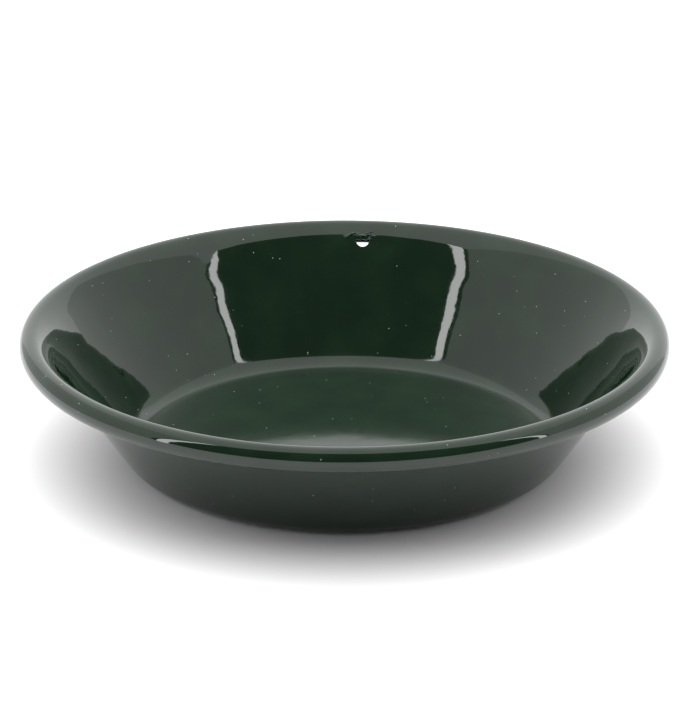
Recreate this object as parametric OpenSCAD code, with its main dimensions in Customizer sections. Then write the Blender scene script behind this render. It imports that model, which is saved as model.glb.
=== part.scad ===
// Gold pan of pressed and enamelled steel.
//
// One sheet of steel is pressed into a shallow bowl whose wall flares outwards at the top, and its edge
// is rolled outwards and under into a hollow bead. It is dipped in a dark ground coat, which also lines
// the hanging hole, and a green cover coat is sprayed over that, inside and outside. Each of these is
// one solid.
//
// The pan stands on z = 0 with its axis along z, and the hanging hole is at the back, towards +Y.

/* [Bowl] */
// Overall diameter, over the rolled rim
pan_d = 260; // [230:1:420]
// Overall height, from what it stands on to the top of the rim
pan_h = 53; // [40:0.5:90]
// Diameter of the flat base, out to where the corner starts to rise
base_d = 162; // [120:1:198]
// Outside radius of the corner between the base and the wall
corner_r = 12; // [6:0.5:20]

/* [Floor] */
// Width of the flat ring that the pan stands on, around the raised centre
ring_w = 9; // [4:0.5:20]
// Height of the middle of the floor above that ring
dome_h = 1.5; // [0.5:0.1:4]

/* [Rolled rim] */
// Diameter of the hollow bead
bead_d = 9.8; // [7:0.1:14]
// Turn of the sheet around the bead, in degrees from the top of the flare
bead_wrap = 265; // [200:5:275]
// Radius of the flare that turns the wall outwards to the bead, on the inner face
flare_r = 20; // [15:1:30]
// Turn of the flare, in degrees
flare_turn = 21; // [5:1:30]
// Turn of the outside cover coat into the hollow of the bead, which the spray hardly reaches
spray_wrap = 15; // [5:5:60]

/* [Sheet and enamel] */
// Thickness of the steel sheet
steel_t = 0.7; // [0.5:0.05:1.2]
// Thickness of the dark ground coat on each side
ground_t = 0.15; // [0.1:0.01:0.25]
// Thickness of the green cover coat on each side
cover_t = 0.2; // [0.15:0.01:0.4]

/* [Hanging hole] */
// Finished diameter of the hole, inside its enamel lining
hole_d = 5.5; // [4:0.1:8]
// Distance down the wall from the foot of the flare to the middle of the hole
hole_drop = 0; // [0:0.1:20]
// Turn of the hole from straight behind, in degrees towards +X
hole_turn = 3.8; // [-30:0.1:30]

/* [Hidden] */

$fn = 180;
// straight steps in the floor's gentle rise, from the level middle to the ring
floor_steps = 16;
// radius of the level spot in the middle of the floor
middle_r = 4;
// the largest turn between two steps of the corner's, the flare's and the bead's curves, in degrees
curve_step = 5;
// how far the hole's cutter runs past each face of the wall
cut_over = 0.4;

// Depths in the finished wall, measured from its outer face
ground_out_d = cover_t;
steel_d = ground_out_d + ground_t;
ground_in_d = steel_d + steel_t;
cover_in_d = ground_in_d + ground_t;
wall_t = cover_in_d + cover_t;

base_r = base_d / 2;
bead_r = bead_d / 2;
hole_r = hole_d / 2;
ring_r = base_r - ring_w;

// The corner's centre and the bead's centre, as [radius, height]
corner_c = [base_r, corner_r];
bead_c = [pan_d / 2 - bead_r, pan_h - bead_r];

// The wall's inner face touches the corner's inner curve and the flare, and the flare touches the bead,
// which gives the wall's slope and its length
span = bead_c - corner_c;
flare_to_bead = flare_r - bead_r;
drop = corner_r - wall_t + flare_r - flare_to_bead * cos(flare_turn);
wall_a = atan2(span.y, span.x) + asin(drop / norm(span));
wall_len = span * [cos(wall_a), sin(wall_a)] - flare_to_bead * sin(flare_turn);

// Slope of the sheet where the bead starts, and the flare's centre, under the sheet
rim_a = wall_a - flare_turn;
flare_c = bead_c - flare_to_bead * [-sin(rim_a), cos(rim_a)];

// Height of the floor's underside at radius x, from the level middle out to the ring
function lift(x) = dome_h * (1 + cos(180 * (x - middle_r) / (ring_r - middle_r))) / 2;

// Points along an arc, as [radius, height], from angle a0 to angle a1
function arc(centre, r, a0, a1) =
    let(steps = ceil(abs(a1 - a0) / curve_step))
    [for (i = [0 : steps]) let(a = a0 + (a1 - a0) * i / steps) centre + r * [cos(a), sin(a)]];

// The line that the sheet follows at depth d, from the axis out over the floor, round the corner, up the
// wall, over the flare and round the bead by wrap degrees. The wall is the straight step between the
// corner's arc and the flare's.
function course(d, wrap) = [
    [0, dome_h + d],
    for (i = [0 : floor_steps])
        let(x = middle_r + (ring_r - middle_r) * i / floor_steps) [x, lift(x) + d],
    each arc(corner_c, corner_r - d, -90, wall_a - 90),
    each arc(flare_c, flare_r - wall_t + d, 90 + wall_a, 90 + rim_a),
    each arc(bead_c, bead_r - wall_t + d, 90 + rim_a, 90 + rim_a - wrap)
];

// One layer of the whole pan between depths d0 and d1
module layer(d0, d1, wrap) {
    under = course(d0, wrap);
    over = course(d1, wrap);
    rotate_extrude()
        polygon([each under, for (i = [len(over) - 1 : -1 : 0]) over[i]]);
}

// A round cutter through the wall at the hanging hole, square to the wall
module hole_cutter(r) {
    rotate(90 - hole_turn)
        translate([corner_c.x, 0, corner_c.y])
            rotate([0, -wall_a, 0])
                translate([wall_len - hole_drop, 0, -corner_r - cut_over])
                    cylinder(r = r, h = wall_t + 2 * cut_over);
}

// The pressed sheet. Its punched hole leaves room for the lining of ground coat.
module steel_pan() {
    color("dimgray")
        difference() {
            layer(steel_d, ground_in_d, bead_wrap);
            hole_cutter(hole_r + ground_t);
        }
}

module ground_coat_inside() {
    color([0.05, 0.06, 0.09])
        difference() {
            layer(ground_in_d, cover_in_d, bead_wrap);
            hole_cutter(hole_r);
        }
}

// The outer ground coat carries on into the hollow of the bead, and through the hole as its lining
module ground_coat_outside() {
    color([0.05, 0.06, 0.09])
        difference() {
            union() {
                layer(ground_out_d, steel_d, bead_wrap);
                intersection() {
                    layer(steel_d, ground_in_d, bead_wrap);
                    hole_cutter(hole_r + ground_t);
                }
            }
            hole_cutter(hole_r);
        }
}

module cover_coat_inside() {
    color([0.07, 0.17, 0.1])
        difference() {
            layer(cover_in_d, wall_t, bead_wrap);
            hole_cutter(hole_r);
        }
}

module cover_coat_outside() {
    color([0.07, 0.17, 0.1])
        difference() {
            layer(0, cover_t, spray_wrap);
            hole_cutter(hole_r);
        }
}

steel_pan();
ground_coat_inside();
ground_coat_outside();
cover_coat_inside();
cover_coat_outside();
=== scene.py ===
# %% [markdown]
# # A gold pan in vitreous enamel
# A gold pan is a shallow steel bowl that a prospector swirls in a stream. This one is enamelware: one
# sheet is pressed to shape, its edge is rolled into a hollow bead, and molten glass is fused over it.
# Almost everything that the eye reads on such a pan is a reflection, so the lesson is about three things:
# a true profile, a skin that is a little uneven, and a plain studio for it to mirror.

# %% Load the fixed frame
import math

import bmesh
import bpy
from mathutils import Matrix, Vector, noise
from mathutils.kdtree import KDTree


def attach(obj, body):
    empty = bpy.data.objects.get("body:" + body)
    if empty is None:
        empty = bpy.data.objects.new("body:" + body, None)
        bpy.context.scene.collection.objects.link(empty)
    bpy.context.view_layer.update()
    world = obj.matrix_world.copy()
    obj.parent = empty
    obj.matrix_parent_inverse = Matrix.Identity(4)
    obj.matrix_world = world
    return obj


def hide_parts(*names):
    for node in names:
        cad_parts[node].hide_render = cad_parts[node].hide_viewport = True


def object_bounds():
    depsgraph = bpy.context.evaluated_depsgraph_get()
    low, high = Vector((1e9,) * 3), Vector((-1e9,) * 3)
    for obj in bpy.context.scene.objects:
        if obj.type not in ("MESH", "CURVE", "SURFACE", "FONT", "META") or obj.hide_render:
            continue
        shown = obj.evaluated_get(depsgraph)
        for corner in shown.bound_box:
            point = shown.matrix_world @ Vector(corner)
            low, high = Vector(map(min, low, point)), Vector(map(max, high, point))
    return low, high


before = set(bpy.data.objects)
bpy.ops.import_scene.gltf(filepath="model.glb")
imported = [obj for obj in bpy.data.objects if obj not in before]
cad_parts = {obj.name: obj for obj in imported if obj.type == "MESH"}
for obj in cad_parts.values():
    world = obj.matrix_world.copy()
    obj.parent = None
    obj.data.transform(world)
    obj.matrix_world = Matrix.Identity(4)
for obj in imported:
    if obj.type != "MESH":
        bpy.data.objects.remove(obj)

cad_low, cad_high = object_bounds()
print("CAD box in mm:", [round(v * 1000, 2) for v in (*cad_low, *cad_high)])

# %% [markdown]
# ## Camera
# The pan is seen from a stool's height by a long lens about a metre and a half away, which flattens
# the near and far rims to nearly the same curve. A wide lens close up would swell the near rim, so the
# lens and the distance matter as much as the angle. The aim is a little under the rim.

# %% Camera
VIEW_DOWN = math.radians(21.56)
VIEW_DISTANCE = 1.490
AIM = Vector((0.00019, 0.0, 0.0406))
SENSOR_MM = 36.0
LENS_MM = 188.9
FAR_CLIP = 50.0

camera_data = bpy.data.cameras.new("camera")
camera_data.sensor_width = SENSOR_MM
camera_data.lens = LENS_MM
camera_data.clip_end = FAR_CLIP
camera = bpy.data.objects.new("camera", camera_data)
bpy.context.scene.collection.objects.link(camera)
towards_camera = Vector((0.0, -math.cos(VIEW_DOWN), math.sin(VIEW_DOWN)))
camera.location = AIM + towards_camera * VIEW_DISTANCE
camera.rotation_euler = (-towards_camera).to_track_quat("-Z", "Y").to_euler()
bpy.context.scene.camera = camera
print("camera at", [round(v, 3) for v in camera.location])

# %% [markdown]
# ## The sizes of the sheet
# The pan's profile is a floor, a corner, a straight wall, a flare and a bead, each tangent to the next.
# Its overall size is read from the frame; the rest are the designer's own driving sizes. Depths are
# measured in from the outer face: 0 is the outside of the glass and WALL is the inside of it.

# %% Sizes of the sheet, in metres
RIM_RADIUS = (cad_high.x - cad_low.x) / 2
HEIGHT = cad_high.z
BASE_RADIUS = 0.081
CORNER_RADIUS = 0.012
RING_WIDTH = 0.009
DOME = 0.0015
MIDDLE_RADIUS = 0.004
BEAD_RADIUS = 0.0049
FLARE_RADIUS = 0.020
FLARE_TURN = math.radians(21)
INSIDE_WRAP = math.radians(265)
OUTSIDE_WRAP = math.radians(15)
WALL = 0.0014
GLASS = 0.0002

corner_centre = Vector((BASE_RADIUS, 0, CORNER_RADIUS))
bead_centre = Vector((RIM_RADIUS - BEAD_RADIUS, 0, HEIGHT - BEAD_RADIUS))
span = bead_centre - corner_centre
flare_to_bead = FLARE_RADIUS - BEAD_RADIUS
drop = CORNER_RADIUS - WALL + FLARE_RADIUS - flare_to_bead * math.cos(FLARE_TURN)
wall_slope = math.atan2(span.z, span.x) + math.asin(drop / span.length)
up_wall = Vector((math.cos(wall_slope), 0, math.sin(wall_slope)))
off_wall = Vector((-math.sin(wall_slope), 0, math.cos(wall_slope)))
wall_length = span.dot(up_wall) - flare_to_bead * math.sin(FLARE_TURN)
rim_slope = wall_slope - FLARE_TURN
flare_centre = bead_centre - flare_to_bead * Vector((-math.sin(rim_slope), 0, math.cos(rim_slope)))
print("wall slopes", round(math.degrees(wall_slope), 2), "degrees over", round(wall_length * 1000, 2), "mm")

# %% [markdown]
# ## Drawing the profile
# A lathe turner thinks of a profile as a run of straight cuts and sweeps, and so does bmesh: a single
# vertex that is extruded leaves a straight line behind it, and one that is spun leaves an arc. Chained,
# they draw the sheet's line from the middle of the floor to the lip, with no list of points.

# %% Straight runs and arcs drawn with one vertex
FLOOR_STEPS = 24
RING_STEPS = 4
CORNER_STEPS = 14
WALL_STEPS = 26
FLARE_STEPS = 8
BEAD_STEP = math.radians(8)


def run_to(bm, vertex, place):
    """Extrudes one vertex to a new place, and returns the new one."""
    end = bmesh.ops.extrude_vert_indiv(bm, verts=[vertex])["verts"][0]
    bmesh.ops.translate(bm, verts=[end], vec=place - end.co)
    return end


def sweep(bm, vertex, centre, angle, steps):
    """Spins one vertex in the plane of the profile, clockwise as seen from the front."""
    last = bmesh.ops.spin(
        bm, geom=[vertex], cent=centre, axis=(0, 1, 0), angle=angle, steps=steps, use_merge=False
    )["geom_last"]
    return [part for part in last if isinstance(part, bmesh.types.BMVert)][0]


def floor_lift(radius):
    """Height of the floor's underside: the dome, falling smoothly to the ring that the pan stands on."""
    ring = BASE_RADIUS - RING_WIDTH
    along = min(max((radius - MIDDLE_RADIUS) / (ring - MIDDLE_RADIUS), 0), 1)
    return DOME * (1 + math.cos(math.pi * along)) / 2


def draw_profile(bm, depth, wrap):
    """Draws the sheet's line at one depth, from the axis to the end of the bead."""
    ring = BASE_RADIUS - RING_WIDTH
    point = bmesh.ops.create_vert(bm, co=(0, 0, floor_lift(0) + depth))["vert"][0]
    for step in range(FLOOR_STEPS + 1):
        radius = MIDDLE_RADIUS + (ring - MIDDLE_RADIUS) * step / FLOOR_STEPS
        point = run_to(bm, point, Vector((radius, 0, floor_lift(radius) + depth)))
    for step in range(RING_STEPS):
        radius = ring + RING_WIDTH * (step + 1) / RING_STEPS
        point = run_to(bm, point, Vector((radius, 0, depth)))
    point = sweep(bm, point, corner_centre, -wall_slope, CORNER_STEPS)
    for step in range(WALL_STEPS):
        point = run_to(bm, point, point.co + up_wall * wall_length / WALL_STEPS)
    point = sweep(bm, point, flare_centre, FLARE_TURN, FLARE_STEPS)
    sweep(bm, point, bead_centre, wrap, math.ceil(wrap / BEAD_STEP))


profile = bmesh.new()
draw_profile(profile, WALL, INSIDE_WRAP)
widest = max(v.co.x for v in profile.verts)
print("inside profile:", len(profile.verts), "points, out to", round(widest * 1000, 2), "mm")
profile.free()

# %% [markdown]
# ## Turning the profile
# A full spin with its ends merged closes the round. The floor's middle leaves a ring of vertices on the
# axis, which are one point, so doubles are merged before the normals are worked out.

# %% A turned skin
TURN_STEPS = 300
SAME_POINT = 1e-6


def turned_skin(depth, wrap, outwards):
    """Turns the profile about the pan's axis. outwards says whether the visible face looks out of the pan."""
    bm = bmesh.new()
    draw_profile(bm, depth, wrap)
    bmesh.ops.spin(
        bm, geom=bm.verts[:] + bm.edges[:], cent=(0, 0, 0), axis=(0, 0, 1), angle=math.tau,
        steps=TURN_STEPS, use_merge=True,
    )
    bmesh.ops.remove_doubles(bm, verts=bm.verts[:], dist=SAME_POINT)
    bmesh.ops.recalc_face_normals(bm, faces=bm.faces[:])
    bm.normal_update()
    floor_face = min(bm.faces, key=lambda face: face.calc_center_median().xy.length)
    if (floor_face.normal.z < 0) != outwards:
        bmesh.ops.reverse_faces(bm, faces=bm.faces[:])
    return bm


print("a full turn takes", TURN_STEPS, "steps")

# %% [markdown]
# ## The hanging hole
# The pan hangs from a punched hole while it is sprayed and fired, so the glass is never even there. The
# hole lies at the foot of the flare, a few degrees from the back of the pan. Its middle and its three
# directions are worked out from the profile, so it follows the sheet when a size above changes.

# %% Where the hole is
HOLE_RADIUS = 0.00275
HOLE_DROP = 0.0
HOLE_TURN = math.radians(3.8)

to_back = Matrix.Rotation(math.pi / 2 - HOLE_TURN, 4, "Z")
hole_side = to_back @ Vector((0, 1, 0))
hole_up = to_back @ up_wall
hole_axis = to_back @ off_wall
hole_inside = to_back @ (
    corner_centre + up_wall * (wall_length - HOLE_DROP) - off_wall * (CORNER_RADIUS - WALL)
)
print("hole's inner middle in mm:", [round(v * 1000, 2) for v in hole_inside])


def beside_hole(place):
    """Where a place lies from the hole's middle: to the right of it, and up the wall, in metres."""
    offset = place - hole_inside
    return Vector((-offset.dot(hole_side), offset.dot(hole_up)))


def back_on_sheet(place, depth):
    """Moves a place near the rim square to the sheet, so that it lies at the given depth."""
    round_axis = math.atan2(place.y, place.x)
    flat = Vector((place.xy.length, 0, place.z))
    along = (flat - corner_centre).dot(up_wall)
    if along < wall_length:
        away = (flat - corner_centre).dot(off_wall) + CORNER_RADIUS - depth
        flat = flat - off_wall * away
    else:
        arm = flat - flare_centre
        centre, radius = flare_centre, FLARE_RADIUS
        if math.atan2(arm.z, arm.x) < math.pi / 2 + rim_slope:
            centre, radius = bead_centre, BEAD_RADIUS
        flat = centre + (flat - centre).normalized() * (radius - WALL + depth)
    return Matrix.Rotation(round_axis, 4, "Z") @ flat


# %% [markdown]
# ## Cutting the hole
# The mesh is refined round the hole in three passes. New points go back on the curved sheet, except on
# the border of a pass, which stays straight. The faces inside the hole are then deleted and the edge is
# drawn to a slightly ragged round. On the inside a ragged web of glass stays across its upper part. A
# boolean would cut the hole too, but it leaves long thin faces that spoil the reflections.

# %% Cutting the hole
REFINE_RADII = (0.016, 0.0125, 0.0095)
OFF_BEAD = 0.00015
ON_BORDER = 1e-7
WEB_LOW = 0.0003
WEB_RAGGED = 0.0004
RAG_SCALE = 900
CUT_DEPTH = 0.003
EDGE_REACH = 1.3
WEB_REACH = 0.86
EDGE_BACK = 0.00005
EDGE_RAGGED = 0.00008


def near_hole(place, radius):
    """True within a radius of the hole's middle, on the sheet's way up to the crest of the bead."""
    arm = Vector((place.xy.length, 0, place.z)) - bead_centre
    before_crest = arm.x < 0 and (arm.z > 0 or arm.length > BEAD_RADIUS + OFF_BEAD)
    return place.y > 0 and before_crest and (place - hole_inside).length < radius


def refine_round_hole(bm, depth):
    """Halves the faces round the hole in passes, and puts the new points back on the curved sheet.

    Points on the border of a pass stay on their straight edges, so that no crease shows there.
    """
    for radius in REFINE_RADII:
        near = {face for face in bm.faces if all(near_hole(v.co, radius) for v in face.verts)}
        edges = {edge for face in near for edge in face.edges}
        border = [edge for edge in edges if sum(face in near for face in edge.link_faces) < 2]
        middles = [(edge.verts[0].co + edge.verts[1].co) / 2 for edge in border]
        bmesh.ops.subdivide_edges(bm, edges=list(edges), cuts=1, use_grid_fill=True)
        straight = KDTree(len(middles))
        for index, middle in enumerate(middles):
            straight.insert(middle, index)
        straight.balance()
        for vertex in bm.verts:
            if near_hole(vertex.co, radius) and straight.find(vertex.co)[2] > ON_BORDER:
                vertex.co = back_on_sheet(vertex.co, depth)


def cut_hole(bm, webbed):
    """Opens the hole. On the inside a ragged web of glass is left across its upper part."""
    inside = []
    for face in bm.faces:
        middle = face.calc_center_median()
        flat = beside_hole(middle)
        on_web = webbed and flat.y > WEB_LOW + WEB_RAGGED * noise.noise(middle * RAG_SCALE)
        on_axis = abs((middle - hole_inside).dot(hole_axis)) < CUT_DEPTH
        if flat.length < HOLE_RADIUS and on_axis and not on_web:
            inside.append(face)
    bmesh.ops.delete(bm, geom=inside, context="FACES")
    reach = HOLE_RADIUS * EDGE_REACH
    edge = [v for v in bm.verts if v.is_boundary and beside_hole(v.co).length < reach]
    for vertex in edge:
        flat = beside_hole(vertex.co)
        if webbed and flat.length < HOLE_RADIUS * WEB_REACH:
            continue
        wobble = EDGE_RAGGED * noise.noise(vertex.co * RAG_SCALE)
        change = flat.normalized() * (HOLE_RADIUS + EDGE_BACK + wobble) - flat
        vertex.co += -hole_side * change.x + hole_up * change.y
    print("hole cut:", len(inside), "faces out,", len(edge), "points on its edge")


print("the mesh is refined within", REFINE_RADII[0] * 1000, "mm of the hole")

# %% [markdown]
# ## An uneven skin
# No enamelled sheet is quite true. The whole skin has slow waves, the inside wall has short ripples, and
# the top of that wall swells a little. Each is a sixth of a millimetre or less, and they are only
# seen in how the mirrored light wanders.

# %% Waves, ripples and swell
WAVE = 0.00003
WAVE_SCALE = 28
WAVES_ROUND = 6
WAVES_OUT = 30
WALL_WAVE_FROM = 0.070
WALL_WAVE_FADE = 0.02
RIPPLE = 0.00005
RIPPLE_SCALE = 62
RIPPLE_FINE_SCALE = 150
RIPPLE_FINE_SHARE = 0.35
RIPPLE_FROM = 0.084
RIPPLE_TO = 0.121
RIPPLE_FADE = 0.006
SWELL = 0.00016
SWELL_MIDDLE = wall_length - 0.006
SWELL_REACH = 0.009


def slow_wave(place):
    """The unevenness of a pressed and fired sheet, in metres: broad, and drawn out down the wall."""
    flat = Vector((place.xy.length, 0, place.z))
    round_axis = math.atan2(place.y, place.x)
    on_wall = min(max((flat.x - WALL_WAVE_FROM) / WALL_WAVE_FADE, 0), 1)
    turned = (math.cos(round_axis) * WAVES_ROUND, math.sin(round_axis) * WAVES_ROUND)
    down_wall = Vector((*turned, flat.x * WAVES_OUT))
    return WAVE * ((1 - on_wall) * noise.noise(place * WAVE_SCALE) + on_wall * noise.noise(down_wall))


def wall_ripple(place):
    """The short unevenness of the inside wall, which makes straight things mirrored in it wander."""
    flat = Vector((place.xy.length, 0, place.z))
    above_foot = min(max((flat.x - RIPPLE_FROM) / RIPPLE_FADE, 0), 1)
    below_rim = min(max((RIPPLE_TO - flat.x) / RIPPLE_FADE, 0), 1)
    on_wall = above_foot * below_rim
    fine = RIPPLE_FINE_SHARE * noise.noise(place * RIPPLE_FINE_SCALE)
    return RIPPLE * on_wall * (noise.noise(place * RIPPLE_SCALE) + fine)


def swell(place):
    """The slight inward belly that the press leaves at the top of the wall, in metres."""
    flat = Vector((place.xy.length, 0, place.z))
    along = (flat - corner_centre).dot(up_wall)
    if flat.x < BASE_RADIUS or abs(along - SWELL_MIDDLE) > SWELL_REACH:
        return 0
    return SWELL * (1 + math.cos(math.pi * (along - SWELL_MIDDLE) / SWELL_REACH)) / 2


print("waves, ripples and swell in mm:", [round(v * 1000, 3) for v in (WAVE, RIPPLE, SWELL)])

# %% [markdown]
# ## The firing mark
# A ragged ridge of glass gathers over the hole that the pan hung from in the kiln. Its crest follows a
# crooked line, given in millimetres to the right of the hole and up the wall. The ridge falls away
# softly on both sides of that line, and noise breaks it into lumps.

# %% The firing mark
MARK_LINE = [Vector(place) for place in (
    (-6.8, 1.4), (-5.6, 2.3), (-3.2, 2.7), (-0.8, 1.7), (1.0, 2.2), (2.9, 3.0), (4.1, 2.2), (3.5, 0.7)
)]
MARK_HEIGHT = 0.0008
MARK_WIDTH = 0.75
MARK_REACH = 0.012
LUMP_LEVEL = 0.45
LUMP_COARSE = 1.1
LUMP_COARSE_SCALE = 700
LUMP_FINE = 0.8
LUMP_FINE_SCALE = 1500


def away_from_piece(place, start, end):
    """How far a place lies from the straight piece between two others."""
    share = (place - start).dot(end - start) / (end - start).length_squared
    return (place - start.lerp(end, min(max(share, 0), 1))).length


def firing_mark(place):
    """The ragged ridge of glass that gathered over the hanging hole in the kiln, in metres."""
    if not near_hole(place, MARK_REACH):
        return 0
    flat = beside_hole(place) * 1000
    reach = min(away_from_piece(flat, start, end) for start, end in zip(MARK_LINE, MARK_LINE[1:]))
    coarse = LUMP_COARSE * noise.noise(place * LUMP_COARSE_SCALE)
    fine = LUMP_FINE * noise.noise(place * LUMP_FINE_SCALE)
    lumps = LUMP_LEVEL + coarse + fine
    return MARK_HEIGHT * math.exp(-(reach / MARK_WIDTH) ** 2) * max(lumps, 0)


print("firing mark:", len(MARK_LINE) - 1, "straight pieces,", MARK_HEIGHT * 1000, "mm high before its lumps")

# %% [markdown]
# ## The coats of glass
# The skin gets its thickness by being extruded: the old face goes a fifth of a millimetre under, and
# the new one is the face that is seen. Only that one is then moved. It is set back by the height of the
# waves first, so that the waves themselves never stand above the true sheet.

# %% Two coats of glass
def inside_relief(place):
    """How far the inside face stands out at a place, besides the slow waves."""
    return swell(place) + wall_ripple(place) + firing_mark(place)


def no_relief(place):
    """The outside face has the slow waves and nothing else."""
    return 0


def glass_coat(name, depth, wrap, outwards, raised):
    """Makes one closed coat of glass. raised gives how far its seen face stands out at a place."""
    bm = turned_skin(depth, wrap, outwards)
    refine_round_hole(bm, depth)
    cut_hole(bm, webbed=not outwards)
    crowded = [face for face in bm.faces if len(face.verts) > 4]
    bmesh.ops.triangulate(bm, faces=crowded)
    bm.normal_update()
    under = {vertex: vertex.normal.copy() for vertex in bm.verts}
    over = bmesh.ops.extrude_face_region(bm, geom=bm.faces[:], use_keep_orig=True)["geom"]
    over = [part for part in over if isinstance(part, bmesh.types.BMVert)]
    for vertex, normal in under.items():
        vertex.co -= normal * GLASS
    bm.normal_update()
    for vertex in over:
        vertex.co += vertex.normal * (slow_wave(vertex.co) - WAVE + raised(vertex.co))
    volume = bm.calc_volume(signed=True)
    mesh = bpy.data.meshes.new(name)
    bm.to_mesh(mesh)
    for face in mesh.polygons:
        face.use_smooth = True
    bm.free()
    piece = bpy.data.objects.new(name, mesh)
    bpy.context.scene.collection.objects.link(piece)
    mesh.calc_loop_triangles()
    print(name, "has", len(mesh.loop_triangles), "triangles and", round(volume * 1e9), "mm3 of glass")
    return piece


inside_glass = glass_coat("green_glass_inside", WALL, INSIDE_WRAP, False, inside_relief)
outside_glass = glass_coat("green_glass_outside", 0, OUTSIDE_WRAP, True, no_relief)

# %% [markdown]
# ## Shader sums
# Shader maths reads best as sums. One small class wraps a socket, so that adding, subtracting or
# multiplying two of them puts in the Math node that does it. A second class holds the material.

# %% A socket that can be calculated with
class Wire:
    """An output socket in a material's node tree."""

    def __init__(self, look, socket):
        self.look = look
        self.socket = socket

    def math(self, operation, *others):
        return self.look.node("ShaderNodeMath", {"operation": operation}, [self, *others])

    def __add__(self, other):
        return self.math("ADD", other)

    def __mul__(self, other):
        return self.math("MULTIPLY", other)

    def __sub__(self, other):
        return self.math("SUBTRACT", other)

    def __rsub__(self, other):
        return self.look.node("ShaderNodeMath", {"operation": "SUBTRACT"}, [other, self])

    def above(self, level, soft):
        """0 below the level, 1 above it, with a soft step between."""
        limits = [self, level - soft, level + soft]
        return self.look.node("ShaderNodeMapRange", {"interpolation_type": "SMOOTHSTEP"}, limits)

    __radd__ = __add__
    __rmul__ = __mul__


class Look:
    """A material with one Principled shader, built up from wires."""

    def __init__(self, name, **fixed):
        self.material = bpy.data.materials.new(name)
        self.material.use_nodes = True
        self.tree = self.material.node_tree
        self.shader = next(n for n in self.tree.nodes if n.type == "BSDF_PRINCIPLED")
        for socket, value in fixed.items():
            self.shader.inputs[socket.replace("_", " ")].default_value = value
        self.place = self.node("ShaderNodeTexCoord", {}, [], "Object")

    def node(self, kind, settings=None, inputs=(), output=0):
        made = self.tree.nodes.new(kind)
        for name, value in (settings or {}).items():
            setattr(made, name, value)
        pairs = inputs.items() if isinstance(inputs, dict) else enumerate(inputs)
        for name, value in pairs:
            if isinstance(value, Wire):
                self.tree.links.new(value.socket, made.inputs[name])
            else:
                made.inputs[name].default_value = value
        return Wire(self, made.outputs[output])

    def noise(self, scale, detail=2.0, rough=0.5):
        inputs = {"Vector": self.place, "Scale": scale, "Detail": detail, "Roughness": rough}
        return self.node("ShaderNodeTexNoise", {}, inputs)

    def mix(self, amount, first, second):
        inputs = {0: amount, 6: first, 7: second}
        return self.node("ShaderNodeMix", {"data_type": "RGBA"}, inputs, 2)

    def bump(self, height, distance):
        inputs = {"Height": height, "Distance": distance, "Strength": 1.0}
        return self.node("ShaderNodeBump", {}, inputs)

    def into(self, socket, wire):
        self.tree.links.new(wire.socket, self.shader.inputs[socket])


print("a wire can be added, subtracted, multiplied and compared with a level")

# %% [markdown]
# ## The green glass
# Vitreous enamel is coloured glass: its body is a green near to black, and nearly all its brightness is
# in the mirror-like surface. The body takes a slight mottle and the surface a fine orange peel, with
# small pale bumps where grit was trapped, and the floor is duller where gravel has been swirled. A
# painted picture could show this too, but it would stretch over the bowl, so noise in space is used.

# %% Green enamel
BODY_GREEN = (0.0022, 0.0095, 0.0036, 1)
THIN_GREEN = (0.0038, 0.0145, 0.0058, 1)
SPECK = (0.30, 0.34, 0.30, 1)
GLASS_IOR = 1.52
MOTTLE_SCALE = 55
MOTTLE_LEVEL = 0.55
MOTTLE_SOFT = 0.2
SPECK_SCALE = 260
SPECK_SIZE = 0.055
SPECK_SOFT = 0.02
SPECK_CHOICE = 0.66
CHOICE_SOFT = 0.01
SPECK_ROUGH = 0.3
SPECK_RISE = 4.0
FLOOR_TOP = 0.006
FLOOR_FADE = 0.002
POLISH = 0.035
FLOOR_WEAR = 0.05
SCUFF_SCALE = 260
SCUFF_DEPTH = 0.06
PEEL_SCALE = 230
BROAD_PEEL_SCALE = 80
BROAD_PEEL = 2.2
PEEL_HEIGHT = 0.000012


def green_enamel():
    """Near-black green glass, mirror-like, with specks, orange peel and a duller floor."""
    look = Look("green_cover_glass", IOR=GLASS_IOR)
    height = look.node("ShaderNodeSeparateXYZ", {}, [look.place], 2)
    mottle = look.noise(MOTTLE_SCALE, detail=4.0)
    colour = look.mix(mottle.above(MOTTLE_LEVEL, MOTTLE_SOFT), BODY_GREEN, THIN_GREEN)
    cells = look.node("ShaderNodeTexVoronoi", {}, {"Vector": look.place, "Scale": SPECK_SCALE})
    chosen = look.node("ShaderNodeTexVoronoi", {}, {"Vector": look.place, "Scale": SPECK_SCALE}, 1)
    pick = look.node("ShaderNodeSeparateColor", {}, [chosen])
    speck = (1 - cells.above(SPECK_SIZE, SPECK_SOFT)) * pick.above(SPECK_CHOICE, CHOICE_SOFT)
    look.into("Base Color", look.mix(speck, colour, SPECK))
    floor = 1 - height.above(FLOOR_TOP, FLOOR_FADE)
    scuffs = look.noise(SCUFF_SCALE, detail=5.0, rough=0.7)
    wear = floor * (FLOOR_WEAR + scuffs * SCUFF_DEPTH)
    look.into("Roughness", POLISH + wear + speck * SPECK_ROUGH)
    peel = look.noise(PEEL_SCALE, detail=1.0) + look.noise(BROAD_PEEL_SCALE, detail=1.0) * BROAD_PEEL
    look.into("Normal", look.bump(peel + speck * SPECK_RISE, PEEL_HEIGHT))
    return look.material


green = green_enamel()
print("green glass has", len(green.node_tree.nodes), "shader nodes")

# %% [markdown]
# ## The ground coat and the steel
# Under the green lies a thin blue-black coat that grips the steel. Little of either can be seen, since
# the glass covers them. The frame's own pieces take these two materials.

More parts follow.
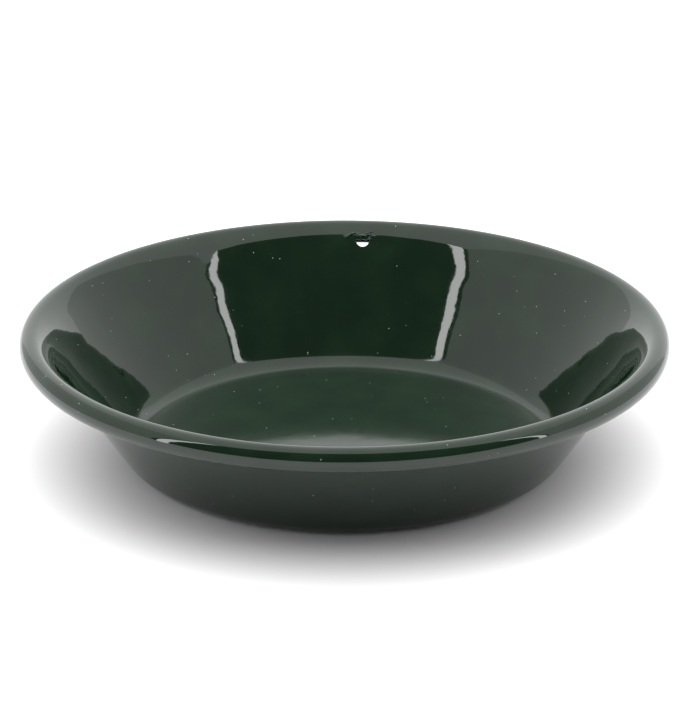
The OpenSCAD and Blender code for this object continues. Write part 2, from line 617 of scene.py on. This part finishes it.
# %% Ground coat and steel
GROUND_DARK = (0.010, 0.012, 0.020, 1)
GROUND_PALE = (0.03, 0.035, 0.05, 1)
GROUND_IOR = 1.5
SPECKLE_SCALE = 900
SPECKLE_LEVEL = 0.6
SPECKLE_SOFT = 0.08
GROUND_POLISH = 0.10
GROUND_WEAR = 0.15
GROUND_PEEL_SCALE = 500
STEEL_DARK = (0.22, 0.21, 0.20, 1)
STEEL_PALE = (0.42, 0.40, 0.38, 1)
STEEL_SCALE = 700
STEEL_POLISH = 0.35
STEEL_WEAR = 0.25
FINE_GRAIN = 0.00002


def ground_coat():
    """A blue-black glass, faintly speckled."""
    look = Look("ground_coat", IOR=GROUND_IOR)
    speckle = look.noise(SPECKLE_SCALE, detail=3.0)
    look.into("Base Color", look.mix(speckle.above(SPECKLE_LEVEL, SPECKLE_SOFT), GROUND_DARK, GROUND_PALE))
    look.into("Roughness", GROUND_POLISH + speckle * GROUND_WEAR)
    look.into("Normal", look.bump(look.noise(GROUND_PEEL_SCALE), FINE_GRAIN))
    return look.material


def dull_steel():
    """Bare sheet steel with a fine grain."""
    look = Look("dull_steel", Metallic=1.0)
    grain = look.noise(STEEL_SCALE, detail=4.0, rough=0.7)
    look.into("Base Color", look.mix(grain, STEEL_DARK, STEEL_PALE))
    look.into("Roughness", STEEL_POLISH + grain * STEEL_WEAR)
    look.into("Normal", look.bump(grain, FINE_GRAIN))
    return look.material


ground = ground_coat()
steel = dull_steel()
for piece, node in ((inside_glass, "cover_coat_inside"), (outside_glass, "cover_coat_outside")):
    piece.data.materials.append(green)
    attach(piece, "root")
    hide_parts(node)
for node, material in (("steel_pan", steel), ("ground_coat_inside", ground), ("ground_coat_outside", ground)):
    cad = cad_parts[node]
    cad.data.materials.clear()
    cad.data.materials.append(material)
print("materials:", [m.name for m in bpy.data.materials])

# %% [markdown]
# ## Studio
# Shiny ware is shot in a light tent, so that it mirrors soft pale cloth and not the room. This is a
# plain one: three walls and a roof, open towards the camera, with a soft strip lamp each side of the
# opening to shape the wall. The cards can't be seen by the camera and cast no shadows.

# %% Cards of the light tent
OPENING = -0.5
TENT_LEFT = -1.0
TENT_RIGHT = 1.3
TENT_BACK = 1.6
TENT_HIGH = 1.3
TENT_WIDTH = TENT_RIGHT - TENT_LEFT
TENT_DEPTH = TENT_BACK - OPENING
STRIP_WIDTH = 0.16
SIDE_GLOW = 1.1
BACK_GLOW = 1.5
STRIP_GLOW = 8


def glowing_paint(name, strength):
    """A plain white glow of one strength."""
    paint = bpy.data.materials.new(name)
    paint.use_nodes = True
    tree = paint.node_tree
    tree.nodes.clear()
    emit = tree.nodes.new("ShaderNodeEmission")
    emit.inputs["Strength"].default_value = strength
    out = tree.nodes.new("ShaderNodeOutputMaterial")
    tree.links.new(emit.outputs[0], out.inputs[0])
    return paint


def stage_card(name, middle, width, length, turn, strength):
    """A glowing card. It lies flat, width across and length back, until it is turned."""
    bm = bmesh.new()
    bmesh.ops.create_grid(bm, x_segments=1, y_segments=1, size=0.5)
    mesh = bpy.data.meshes.new(name)
    bm.to_mesh(mesh)
    bm.free()
    mesh.materials.append(glowing_paint(name, strength))
    card = bpy.data.objects.new(name, mesh)
    bpy.context.scene.collection.objects.link(card)
    card.matrix_world = Matrix.Translation(middle) @ turn @ Matrix.Diagonal((width, length, 1, 1))
    card.visible_camera = False
    card.visible_shadow = False


lying = Matrix.Identity(4)
sideways = Matrix.Rotation(math.pi / 2, 4, "Y")
upright = Matrix.Rotation(math.pi / 2, 4, "X")
mid_width = (TENT_LEFT + TENT_RIGHT) / 2
mid_depth = (OPENING + TENT_BACK) / 2
mid_height = TENT_HIGH / 2
for side, place in (("tent_left", TENT_LEFT), ("tent_right", TENT_RIGHT)):
    stage_card(side, (place, mid_depth, mid_height), TENT_HIGH, TENT_DEPTH, sideways, SIDE_GLOW)
stage_card("tent_back", (mid_width, TENT_BACK, mid_height), TENT_WIDTH, TENT_HIGH, upright, BACK_GLOW)
stage_card("tent_roof", (mid_width, mid_depth, TENT_HIGH), TENT_WIDTH, TENT_DEPTH, lying, BACK_GLOW)
for strip, place in (("strip_left", TENT_LEFT + STRIP_WIDTH), ("strip_right", TENT_RIGHT - STRIP_WIDTH)):
    stage_card(strip, (place, OPENING, mid_height), STRIP_WIDTH, TENT_HIGH, upright, STRIP_GLOW)
print("light tent", round(TENT_WIDTH, 2), "m wide and", round(TENT_DEPTH, 2), "m deep")

# %% [markdown]
# ## Table and overhead light
# The table is plain pale paper. One big soft lamp above it does the lighting. It is kept out of the
# mirror-like glass, where its square outline would show as a hard patch.

# %% Table, overhead light and room
TABLE_HALF = 6
TABLE_GAP = 0.0001
PAPER = (0.88, 0.88, 0.88, 1)
LAMP_SIZE = 3.0
LAMP_WATTS = 85
LAMP_PLACE = (0, 0.1, 1.6)
ROOM_GLOW = 0.12

bm = bmesh.new()
bmesh.ops.create_grid(bm, x_segments=1, y_segments=1, size=TABLE_HALF)
bmesh.ops.translate(bm, verts=bm.verts[:], vec=(0, 0, -TABLE_GAP))
table_mesh = bpy.data.meshes.new("table")
bm.to_mesh(table_mesh)
bm.free()
table = bpy.data.objects.new("table", table_mesh)
bpy.context.scene.collection.objects.link(table)
paper = bpy.data.materials.new("pale_paper")
paper.use_nodes = True
paper_shader = next(n for n in paper.node_tree.nodes if n.type == "BSDF_PRINCIPLED")
paper_shader.inputs["Base Color"].default_value = PAPER
paper_shader.inputs["Roughness"].default_value = 1.0
paper_shader.inputs["Specular IOR Level"].default_value = 0.0
table_mesh.materials.append(paper)

top_lamp = bpy.data.lights.new("top_light", "AREA")
top_lamp.size = LAMP_SIZE
top_lamp.energy = LAMP_WATTS
top_light = bpy.data.objects.new("top_light", top_lamp)
top_light.location = LAMP_PLACE
top_light.visible_glossy = False
bpy.context.scene.collection.objects.link(top_light)

room = bpy.data.worlds.new("dim_room")
bpy.context.scene.world = room
room.use_nodes = True
room_glow = room.node_tree.nodes["Background"]
room_glow.inputs["Color"].default_value = (1, 1, 1, 1)
room_glow.inputs["Strength"].default_value = ROOM_GLOW
bpy.context.scene.view_settings.view_transform = "Standard"
print("table", 2 * TABLE_HALF, "m square, lamp of", top_lamp.energy, "W")
